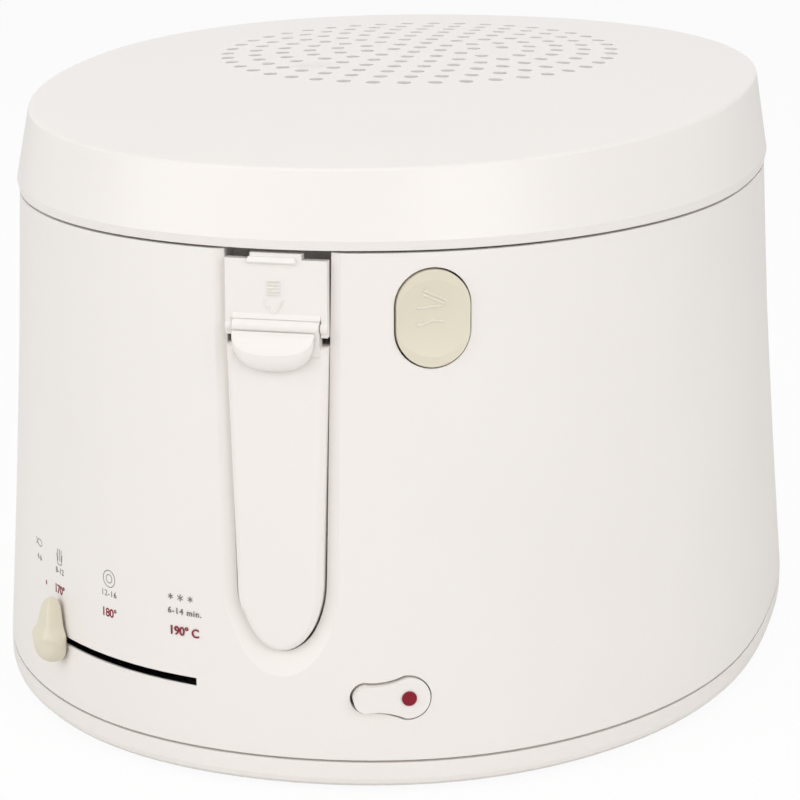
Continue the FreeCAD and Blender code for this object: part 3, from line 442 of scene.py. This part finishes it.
def finish(name, colour, tone, gloss, fine, bump, worn=None, polish=0.0, metallic=0.0, stretch=(1, 1, 1),
           specks=None):
    """Material: grain, then specks where wanted, then worn edges, over one shader."""
    material = bpy.data.materials.new(name)
    material.use_nodes = True
    nodes, links = material.node_tree.nodes, material.node_tree.links
    shader = nodes["Principled BSDF"]
    grain = placed_group(material, "moulded grain", {
        "Colour": (*colour, 1), "Tone": tone, "Gloss": gloss, "Fine": fine, "Stretch": stretch})
    ground = grain.outputs["Colour"]
    if specks:
        speck_colour, speck_scale, speck_spread = specks
        dots = placed_group(material, "specks", {
            "Speck": (*speck_colour, 1), "Scale": speck_scale, "Spread": speck_spread})
        links.new(ground, dots.inputs["Colour"])
        ground = dots.outputs["Colour"]
    edges = placed_group(material, "worn edges", {
        "Worn": (*(worn or colour), 1), "Polish": polish, "Radius": edge_radius})
    links.new(ground, edges.inputs["Colour"])
    links.new(grain.outputs["Roughness"], edges.inputs["Roughness"])
    relief = nodes.new("ShaderNodeBump")
    relief.inputs["Strength"].default_value = bump
    relief.inputs["Distance"].default_value = grain_depth
    links.new(grain.outputs["Height"], relief.inputs["Height"])
    links.new(edges.outputs["Normal"], relief.inputs["Normal"])
    links.new(edges.outputs["Colour"], shader.inputs["Base Color"])
    links.new(edges.outputs["Roughness"], shader.inputs["Roughness"])
    links.new(relief.outputs["Normal"], shader.inputs["Normal"])
    shader.inputs["Metallic"].default_value = metallic
    return material


class FRYER_OT_finishes(bpy.types.Operator):
    """Make the finishes and put them on the solids"""

    bl_idname = "fryer.finishes"
    bl_label = "Finishes"

    def execute(self, context):
        grain_group()
        edge_group()
        speck_group()
        self.mouldings(colours())
        self.metal_and_rubber()
        self.lens_and_print(colours())
        slots = {
            "white_plastic": "white moulding", "beige_plastic": "beige moulding",
            "dark_plastic": "dark moulding", "steel": "bright steel", "coated_bowl": "bowl coating",
            "silicone": "grey silicone", "rubber": "foot rubber", "filter_felt": "filter felt",
            "red_lens": "red lens",
        }
        for entry in frame["record"]["subparts"]:
            node = frame["nodes"][entry["node"]]
            node.data.materials.clear()
            node.data.materials.append(bpy.data.materials[slots[entry["material_slot"]]])
        return {"FINISHED"}

    def mouldings(self, tint):
        """Plastics of the casing, the button and the inner parts; the button's raised marks get a lighter beige, a
        painted highlight on their tops.
        """
        finish("white moulding", tint.white, tone=0.985, gloss=0.30, fine=1400.0, bump=0.06,
               worn=(0.88, 0.86, 0.83), polish=-0.06)
        finish("beige moulding", tint.beige, tone=0.97, gloss=0.30, fine=1400.0, bump=0.06,
               worn=(0.79, 0.74, 0.62), polish=-0.06)
        # Lighter beige for the raised button marks: a painted highlight, as if light caught their tops
        finish("beige painted highlight", (0.80, 0.76, 0.66), tone=0.97, gloss=0.28, fine=1400.0, bump=0.04,
               worn=(0.84, 0.80, 0.70), polish=-0.06)
        finish("dark moulding", tint.dark, tone=0.80, gloss=0.40, fine=900.0, bump=0.10,
               worn=(0.07, 0.068, 0.065), polish=0.1)

    def metal_and_rubber(self):
        """Steel, the bowl's coating, the seal, the feet and the filter."""
        finish("bright steel", (0.56, 0.56, 0.57), tone=0.90, gloss=0.16, fine=900.0, bump=0.10,
               worn=(0.70, 0.70, 0.71), polish=-0.05, metallic=1.0, stretch=(1, 1, 0.04))
        finish("bowl coating", (0.030, 0.030, 0.032), tone=0.80, gloss=0.34, fine=700.0, bump=0.15,
               worn=(0.20, 0.20, 0.20), polish=-0.1, specks=((0.16, 0.16, 0.165), 420.0, 0.16))
        finish("grey silicone", (0.30, 0.30, 0.29), tone=0.92, gloss=0.50, fine=900.0, bump=0.10,
               worn=(0.36, 0.36, 0.35), polish=0.05)
        finish("foot rubber", (0.022, 0.022, 0.022), tone=0.80, gloss=0.62, fine=700.0, bump=0.25,
               worn=(0.09, 0.088, 0.085), polish=0.1, specks=((0.06, 0.058, 0.055), 300.0, 0.12))
        finish("filter felt", (0.62, 0.60, 0.56), tone=0.80, gloss=0.78, fine=420.0, bump=0.80,
               worn=(0.68, 0.66, 0.63), polish=0.1, specks=((0.52, 0.50, 0.47), 700.0, 0.22))

    def lens_and_print(self, tint):
        """Red lens, which mirrors little, and the two inks."""
        lens = finish("red lens", tint.red, tone=0.9, gloss=0.10, fine=900.0, bump=0.02,
                      worn=(0.40, 0.03, 0.06), polish=-0.02)
        lens.node_tree.nodes["Principled BSDF"].inputs["Specular IOR Level"].default_value = 0.25
        finish("red print", tint.red, tone=0.93, gloss=0.40, fine=2500.0, bump=0.05)
        finish("grey print", tint.grey, tone=0.93, gloss=0.40, fine=2500.0, bump=0.05)


def flat_text(words, height, weight, spacing):
    """Points and faces of thin solid figures, centred on the middle of their box."""
    cap_share = 0.72
    curve = bpy.data.curves.new("figures", "FONT")
    curve.body = words
    curve.size = height / cap_share
    curve.offset = weight
    curve.extrude = sizes().print_half
    curve.space_character = spacing
    curve.resolution_u = 4
    holder = bpy.data.objects.new("figures", curve)
    bpy.context.scene.collection.objects.link(holder)
    mesh = bpy.data.meshes.new_from_object(holder)
    points = np.empty(len(mesh.vertices) * 3)
    mesh.vertices.foreach_get("co", points)
    points = points.reshape(-1, 3)
    points -= (points.min(axis=0) + points.max(axis=0)) / 2
    faces = [list(polygon.vertices) for polygon in mesh.polygons]
    bpy.data.objects.remove(holder)
    bpy.data.meshes.remove(mesh)
    bpy.data.curves.remove(curve)
    return points, faces


class FRYER_OT_scale(bpy.types.Operator):
    """Print the temperature scale above the slider"""

    bl_idname = "fryer.scale"
    bl_label = "Scale print"

    def execute(self, context):
        size = sizes()
        for name in scale_figures:
            self.figures(name, size)
            self.minutes(name, size)
        self.minutes("low", size)
        self.signs(size)
        self.low_mark(size)
        return {"FINISHED"}

    def figures(self, name, size):
        """Temperature of a column, in red."""
        spacing = 0.96
        points, faces = flat_text(scale_figures[name], size.figure_size, size.figure_weight, spacing)
        placed = on_wall(points, scale_columns[name], size.figure_row)
        new_piece("scale_" + name, placed, faces, "housing", "red print")

    def minutes(self, name, size):
        """Minutes of a column, in grey."""
        spacing = 1.14
        points, faces = flat_text(scale_minutes[name], size.minute_size, size.minute_weight, spacing)
        placed = on_wall(points, scale_columns[name], size.minute_row)
        new_piece("minutes_" + name, placed, faces, "housing", "grey print")

    def line(self, path, closed=False, width=1.0):
        """Printed line along a path in shares of a sign's half height."""
        size = sizes()
        return stroke(size.sign_size * path, width * size.line_half, size.print_half, closed)

    def signs(self, size):
        """Plain food signs over the minutes: a fish, a cup of chips, a ring and three stars."""
        fish = [self.line(line_path([(-1.2, 0.4), (-0.7, 0), (-1.2, -0.4)])),
                self.line(ring_path(0.8, (0.15, 0), 0.5), closed=True)]
        cup = [self.line(line_path([(-0.7, 0.3), (-0.5, -1), (0.5, -1), (0.7, 0.3)]))]
        ring = [self.line(ring_path(radius), closed=True) for radius in (1.0, 0.5)]
        stars = []
        for k in (-1, 0, 1):
            lean = 0.42 * k
            cup.append(self.line(line_path([(lean, -0.6), (1.2 * lean, 0.95 - 0.1 * abs(k))])))
            middle = np.array([1.3 * k, -0.15])
            reach = 0.36 if k else 0.43
            for turn in (0, math.pi / 3, 2 * math.pi / 3):
                arm = reach * np.array([math.sin(turn), math.cos(turn)])
                stars.append(self.line(line_path([middle - arm, middle + arm], 12), width=0.8))
        star_shift = 0.0015
        places = {**scale_columns, "190": scale_columns["190"] - star_shift}
        for name, parts in (("low", fish), ("170", cup), ("180", ring), ("190", stars)):
            points, faces = joined(parts)
            placed = on_wall(points, places[name], size.sign_row)
            smooth(new_piece("sign_" + name, placed, faces, "housing", "grey print"))

    def low_mark(self, size):
        """Short upright mark for the lowest setting."""
        mark_x, mark_drop = -0.0984, 0.0006
        reach, half_width = 0.0009, 0.0005
        points, faces = stroke(line_path([(0, -reach), (0, reach)], 20), half_width, size.print_half)
        placed = on_wall(points, mark_x, size.figure_row - mark_drop)
        smooth(new_piece("mark_low", placed, faces, "housing", "red print"))


class FRYER_OT_marks(bpy.types.Operator):
    """Raise the moulded marks on the lid button and the handle plate"""

    bl_idname = "fryer.marks"
    bl_label = "Moulded marks"

    def execute(self, context):
        self.button(sizes())
        self.plate()
        return {"FINISHED"}

    def button(self, size):
        """Lid sign on the dished button: two slanting strokes over a level one and a wave.

        The dish is cut by a ball: its deepest point lies the dish's depth below the rim, which stands proud.
        """
        ball, dish, rim = 0.062, 0.0013, 0.0006
        button_x, button_z = 0.0494, 0.163
        paths = (
            line_path([(-0.0035, 0.0094), (0.0044, 0.0057)]),
            line_path([(-0.0038, 0.0080), (0.0038, 0.0045)]),
            line_path([(-0.0055, 0.0034), (0.0034, 0.0041)]),
            wave_path([(-0.0056, -0.0016), (-0.0046, -0.0021), (0.0002, -0.0009), (0.0036, -0.0012)]),
        )
        points, faces = joined([stroke(path, size.mark_half, size.mark_proud) for path in paths])
        origin, right, out = wall_axes(button_x, button_z)
        up = np.array([0, 0, 1])
        level = rim - dish + ball - np.sqrt(ball ** 2 - points[:, 0] ** 2 - points[:, 1] ** 2)
        rise = np.minimum(level, rim) + points[:, 2]
        placed = origin + points[:, 0:1] * right + points[:, 1:2] * up + rise[:, None] * out
        # The strokes take the lighter beige: a painted highlight on the raised marks
        smooth(new_piece("button_marks", placed, faces, "lid_release", "beige painted highlight"))

    def plate(self):
        """Five short ribs over an arrow head, raised on the flat plate.

        The arrow's edge is at the height tip + rise * |t|^1.5, for t from -1 to 1 across it.
        """
        middle = -0.0008
        half, proud = 0.00028, 0.0007
        rib_count, rib_top, rib_pitch, rib_reach = 5, 0.1750, 0.00112, 0.0023
        arrow_tip, arrow_rise, arrow_reach, arrow_share = 0.1644, 0.0046, 0.0032, 0.7
        parts = []
        for i in range(rib_count):
            z = rib_top - rib_pitch * i
            parts.append(stroke(line_path([(middle - rib_reach, z), (middle + rib_reach, z)]), half, proud))
        t = np.linspace(-1, 1, 61)
        arrow = np.stack([middle + arrow_reach * t, arrow_tip + arrow_rise * np.abs(t) ** 1.5], axis=1)
        parts.append(stroke(arrow, half, arrow_share * proud))
        points, faces = joined(parts)
        placed = np.stack([points[:, 0], plate_front() - points[:, 2], points[:, 1]], axis=1)
        smooth(new_piece("plate_marks", placed, faces, "housing", "white moulding"))


class FRYER_OT_handle(bpy.types.Operator):
    """Shape the thumb lip of the handle, its hinge bosses and the tab above the plate"""

    bl_idname = "fryer.handle"
    bl_label = "Handle details"

    def execute(self, context):
        front, crease = plate_front(), math.radians(35)
        points, faces = joined([self.lip(sizes(), front), self.stem(front)])
        lip = new_piece("thumb_lip", points, faces, "handle_catch", "white moulding")
        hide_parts("thumb_slide")
        points, faces = joined([self.boss(front, -1), self.boss(front, 1), self.sill(front)])
        bosses = new_piece("hinge_bosses", points, faces, "housing", "white moulding")
        points, faces = self.tab(front)
        tab = new_piece("plate_tab", points, faces, "housing", "white moulding")
        for piece in (lip, bosses, tab):
            smooth(piece)
            piece.data.set_sharp_from_angle(angle=crease)
        return {"FINISHED"}

    def lip(self, size, front):
        """Half-moon lip: one closed profile drawn in to both ends by k(t) = (1 - |t|^p)^(1/p).

        The profile falls from the hinge as a hollow slope, out by f^1.6 over the fall f, turns over the crest
        into a rounded nose (cos^0.8, sin^0.9) and comes back up a straight rear face.
        """
        end_power = 2.6
        middle = -0.0006
        rear_top, rear_low, edge = -0.00218, -0.00170, 0.0003
        fall = np.linspace(0, 1, 25)
        over = np.linspace(0, math.pi / 2, 22)[1:]
        back = np.linspace(0, 1, 13)[1:]
        slope = np.stack([rear_top - edge - size.lip_proud * fall ** 1.6, -size.lip_fall * fall], axis=1)
        crest = slope[-1, 0] - rear_low
        nose = np.stack([rear_low + crest * np.cos(over) ** 0.8,
                         -size.lip_fall - size.lip_depth * np.sin(over) ** 0.9], axis=1)
        rear = np.stack([rear_low + (rear_top - rear_low) * back, nose[-1, 1] * (1 - back)], axis=1)
        profile = np.concatenate([slope, nose, rear])
        t = -np.cos(np.linspace(0, math.pi, 73))
        k = np.maximum(1 - np.abs(t) ** end_power, 0) ** (1 / end_power)
        root = np.array([rear_top, 0.0])
        section = root + k[:, None, None] * (profile - root)
        place = (middle + size.lip_half_width * t)[:, None, None]
        across = np.broadcast_to(place, section.shape[:2] + (1,))
        points = np.concatenate([across, section], axis=2).reshape(-1, 3)
        points += np.array([0, front, size.lip_top])
        return points, grid_faces(len(t), len(profile), False)

    def stem(self, front):
        """Short block behind the lip that runs in the slot of the grip."""
        fore, rear = front - 0.0030, front + 0.0008
        foot, head, half_width = 0.1502, 0.1536, 0.0029
        profile = np.array([(fore, foot), (rear, foot), (rear, head), (fore, head)])
        return bar(profile, flat_ends(-half_width, half_width))

    def boss(self, front, side):
        """Round boss over one end of the pin, on the lug of the plate, with an eased outer edge."""
        radius, pin_depth, pin_height = 0.0018, 0.0005, 0.160
        inner, shoulder, eased, outer = 0.0147, 0.0162, 0.0166, 0.01685
        profile = ring_path(radius, (front + pin_depth, pin_height), 1.0, 32)
        stations = [(inner, 0), (inner, 1), (shoulder, 1), (eased, 0.94), (outer, 0.8), (outer, 0)]
        return bar(profile, np.array(stations) * np.array([side, 1]))

    def sill(self, front):
        """Strip at the foot of the plate that bends out over the hinge barrel."""
        half_width, rear, top = 0.0146, 0.0010, 0.1644
        nose, bend, face = (-0.0007, 0.16243), (-0.00055, 0.1630), (0.0001, top)
        profile = np.array([nose, (rear, 0.16268), (rear, top), face, bend])
        profile[:, 0] += front
        return bar(profile, flat_ends(-half_width, half_width))

    def tab(self, front):
        """Wedge tab over the plate's upper edge, a little wider at its foot."""
        left, right, spread = -0.0089, 0.0064, 0.09
        foot, top, rear = 0.1804, 0.1828, 0.0002
        lower, nose, upper = (-0.0010, 0.1808), (-0.00125, 0.1812), (-0.0009, 0.1824)
        profile = np.array([(rear, foot), lower, nose, upper, (-0.0006, top), (rear, top)])
        profile[:, 0] += front
        points, faces = bar(profile, flat_ends(left, right))
        points[:, 0] *= 1 + spread * (top - points[:, 2]) / (top - foot)
        return points, faces


class FRYER_OT_knob(bpy.types.Operator):
    """Shape the slider knob: a round foot that grows into a squarer head"""

    bl_idname = "fryer.knob"
    bl_label = "Slider knob"

    def execute(self, context):
        size = sizes()
        rows, columns, stand_off = 64, 72, 0.0008
        low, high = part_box("thermostat_knob")
        joint = next(entry for entry in frame["joints"] if entry["name"] == "temperature_slide")
        centre = np.array(joint["pos_m"])
        wall = np.array([size.knob_x, float(wall_y(size.knob_x, centre[2])), centre[2]])
        out = (wall - centre) / np.linalg.norm(wall - centre)
        right = np.array([-out[1], out[0], 0.0])
        points = self.surface(size, rows, columns)
        placed = wall + stand_off * out + points[:, 0:1] * right + points[:, 2:3] * out
        placed[:, 2] = (low.z + high.z) / 2 + points[:, 1]
        faces = grid_faces(rows, columns, False)
        piece = new_piece("slider_knob", placed, faces, "slider", "beige moulding")
        smooth(piece)
        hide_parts("thermostat_knob")
        return {"FINISHED"}

    def surface(self, size, rows, columns):
        """Pear: a ball b(h) and a tapering head s(h) joined as (b^8 + s^8)^(1/8).

        Its sections are |c|^n + |s|^n = 1, where n grows from 2, a circle, at the foot to 8, nearly a square,
        at the head. The head fades in about the ball's middle and is rounded at its crown. The height runs
        as a cosine, so that both ends close in a point, and the back is cut flat where it faces the wall.
        """
        ball_stretch, join = 1.09, 8
        taper, taper_end = 0.215, 0.6
        crown_height, crown_power = 1.6, 2.6
        fade_start, fade_run = 0.5, 0.7
        square_start, square_run = 1.2, 0.9
        reach_out = 0.009
        half = size.knob_height / 2
        share = (1 - np.cos(np.linspace(0, math.pi, rows))) / 2
        height = -half + 2 * half * share
        rise = (height + half) / size.knob_foot
        ball = np.sqrt(np.maximum(1 - (rise / ball_stretch - 1) ** 2, 0))
        shaft = size.knob_head / size.knob_foot + taper * (2 * half / size.knob_foot - taper_end - rise)
        top = np.clip((half - height) / (crown_height * size.knob_head), 0, 1)
        crown = (1 - (1 - top) ** crown_power) ** (1 / crown_power)
        head = shaft * crown * np.clip((rise - fade_start) / fade_run, 0, 1)
        width = size.knob_foot * (ball ** join + head ** join) ** (1 / join)
        mix = np.clip((rise - square_start) / square_run, 0, 1)
        power = (2 + 6 * mix * mix * (3 - 2 * mix))[:, None]
        turn = np.linspace(0, 2 * math.pi, columns, endpoint=False)
        c, s = np.cos(turn), np.sin(turn)
        reach = width[:, None] / (np.abs(c) ** power + np.abs(s) ** power) ** (1 / power)
        across = reach * s
        ahead = np.maximum(reach_out - size.knob_foot + reach * c, 0)
        up = np.broadcast_to(height[:, None], across.shape)
        return np.stack([across, up, ahead], axis=2).reshape(-1, 3)


class FRYER_OT_stage(bpy.types.Operator):
    """Floor, soft lights, white surround and camera"""

    bl_idname = "fryer.stage"
    bl_label = "Stage"

    def execute(self, context):
        scene = context.scene
        scene.view_settings.view_transform = "Standard"
        self.floor(scene)
        self.surround(scene)
        for name, place, side, power in lamps:
            self.lamp(scene, name, place, side, power)
        self.aim_camera(scene)
        return {"FINISHED"}

    def floor(self, scene):
        """Pale floor that glows for the camera alone, so that it is nearly white and keeps a faint shadow."""
        reach, glow_share = 4, 0.93
        corners = [(-reach, -reach, 0), (reach, -reach, 0), (reach, reach, 0), (-reach, reach, 0)]
        mesh = bpy.data.meshes.new("floor")
        mesh.from_pydata(corners, [], [(0, 1, 2, 3)])
        floor = bpy.data.objects.new("floor", mesh)
        scene.collection.objects.link(floor)
        material = bpy.data.materials.new("pale floor")
        material.use_nodes = True
        nodes, links = material.node_tree.nodes, material.node_tree.links
        matt = nodes["Principled BSDF"]
        matt.inputs["Base Color"].default_value = (0.85, 0.85, 0.84, 1)
        matt.inputs["Roughness"].default_value = 0.9
        glow = nodes.new("ShaderNodeEmission")
        rays = nodes.new("ShaderNodeLightPath")
        share = nodes.new("ShaderNodeMath")
        share.operation = "MULTIPLY"
        share.inputs[1].default_value = glow_share
        blend = nodes.new("ShaderNodeMixShader")
        links.new(rays.outputs["Is Camera Ray"], share.inputs[0])
        links.new(share.outputs["Value"], blend.inputs["Fac"])
        links.new(matt.outputs["BSDF"], blend.inputs[1])
        links.new(glow.outputs["Emission"], blend.inputs[2])
        links.new(blend.outputs["Shader"], nodes["Material Output"].inputs["Surface"])
        mesh.materials.append(material)

    def surround(self, scene):
        """World that lights softly and is white where the camera, gloss or glass looks at it."""
        soft_level, white_level = 0.40, 1.0
        world = bpy.data.worlds.new("white surround")
        scene.world = world
        world.use_nodes = True
        nodes, links = world.node_tree.nodes, world.node_tree.links
        ground = nodes["Background"]
        rays = nodes.new("ShaderNodeLightPath")
        seen = nodes.new("ShaderNodeMath")
        seen.operation = "MAXIMUM"
        seen_more = nodes.new("ShaderNodeMath")
        seen_more.operation = "MAXIMUM"
        level = nodes.new("ShaderNodeMapRange")
        level.inputs["To Min"].default_value = soft_level
        level.inputs["To Max"].default_value = white_level
        links.new(rays.outputs["Is Camera Ray"], seen.inputs[0])
        links.new(rays.outputs["Is Glossy Ray"], seen.inputs[1])
        links.new(seen.outputs["Value"], seen_more.inputs[0])
        links.new(rays.outputs["Is Transmission Ray"], seen_more.inputs[1])
        links.new(seen_more.outputs["Value"], level.inputs["Value"])
        links.new(level.outputs["Result"], ground.inputs["Strength"])
        ground.inputs["Color"].default_value = (1, 1, 1, 1)

    def lamp(self, scene, name, place, side, power):
        """Square soft lamp aimed at the fryer."""
        target = Vector((0, 0, 0.1))
        light = bpy.data.lights.new(name, "AREA")
        light.size = side
        light.energy = power
        holder = bpy.data.objects.new(name, light)
        holder.location = place
        holder.rotation_euler = (target - Vector(place)).to_track_quat("-Z", "Y").to_euler()
        scene.collection.objects.link(holder)

    def aim_camera(self, scene):
        """Camera at the photograph's angle: right of the handle and a little above."""
        place = Vector((0.1951, -0.90545, 0.3289))
        target = Vector((-0.0025, 0.00975, 0.0848))
        camera = bpy.data.cameras.new("camera")
        camera.lens = 106.62
        camera.sensor_width = 36
        holder = bpy.data.objects.new("camera", camera)
        holder.location = place
        holder.rotation_euler = (target - place).to_track_quat("-Z", "Y").to_euler()
        scene.collection.objects.link(holder)
        scene.camera = holder


class FRYER_PT_panel(bpy.types.Panel):
    """Buttons for every piece"""

    bl_idname = "FRYER_PT_panel"
    bl_label = "Fryer"
    bl_space_type = "VIEW_3D"
    bl_region_type = "UI"
    bl_category = "Fryer"

    def draw(self, context):
        for operator in operators:
            self.layout.operator(operator.bl_idname)


operators = (
    FRYER_OT_finishes, FRYER_OT_scale, FRYER_OT_marks, FRYER_OT_handle, FRYER_OT_knob, FRYER_OT_stage,
)
classes = (FryerSizes, FryerColours, *operators, FRYER_PT_panel)


def register():
    """Register the classes and the settings."""
    for item in classes:
        bpy.utils.register_class(item)
    bpy.types.Scene.fryer_sizes = bpy.props.PointerProperty(type=FryerSizes)
    bpy.types.Scene.fryer_colours = bpy.props.PointerProperty(type=FryerColours)


def unregister():
    """Remove the classes and the settings."""
    del bpy.types.Scene.fryer_colours
    del bpy.types.Scene.fryer_sizes
    for item in reversed(classes):
        bpy.utils.unregister_class(item)


def main():
    """Dress the fryer in order."""
    register()
    bpy.ops.fryer.finishes()
    bpy.ops.fryer.scale()
    bpy.ops.fryer.marks()
    bpy.ops.fryer.handle()
    bpy.ops.fryer.knob()
    bpy.ops.fryer.stage()


if __name__ == "__main__":
    main()
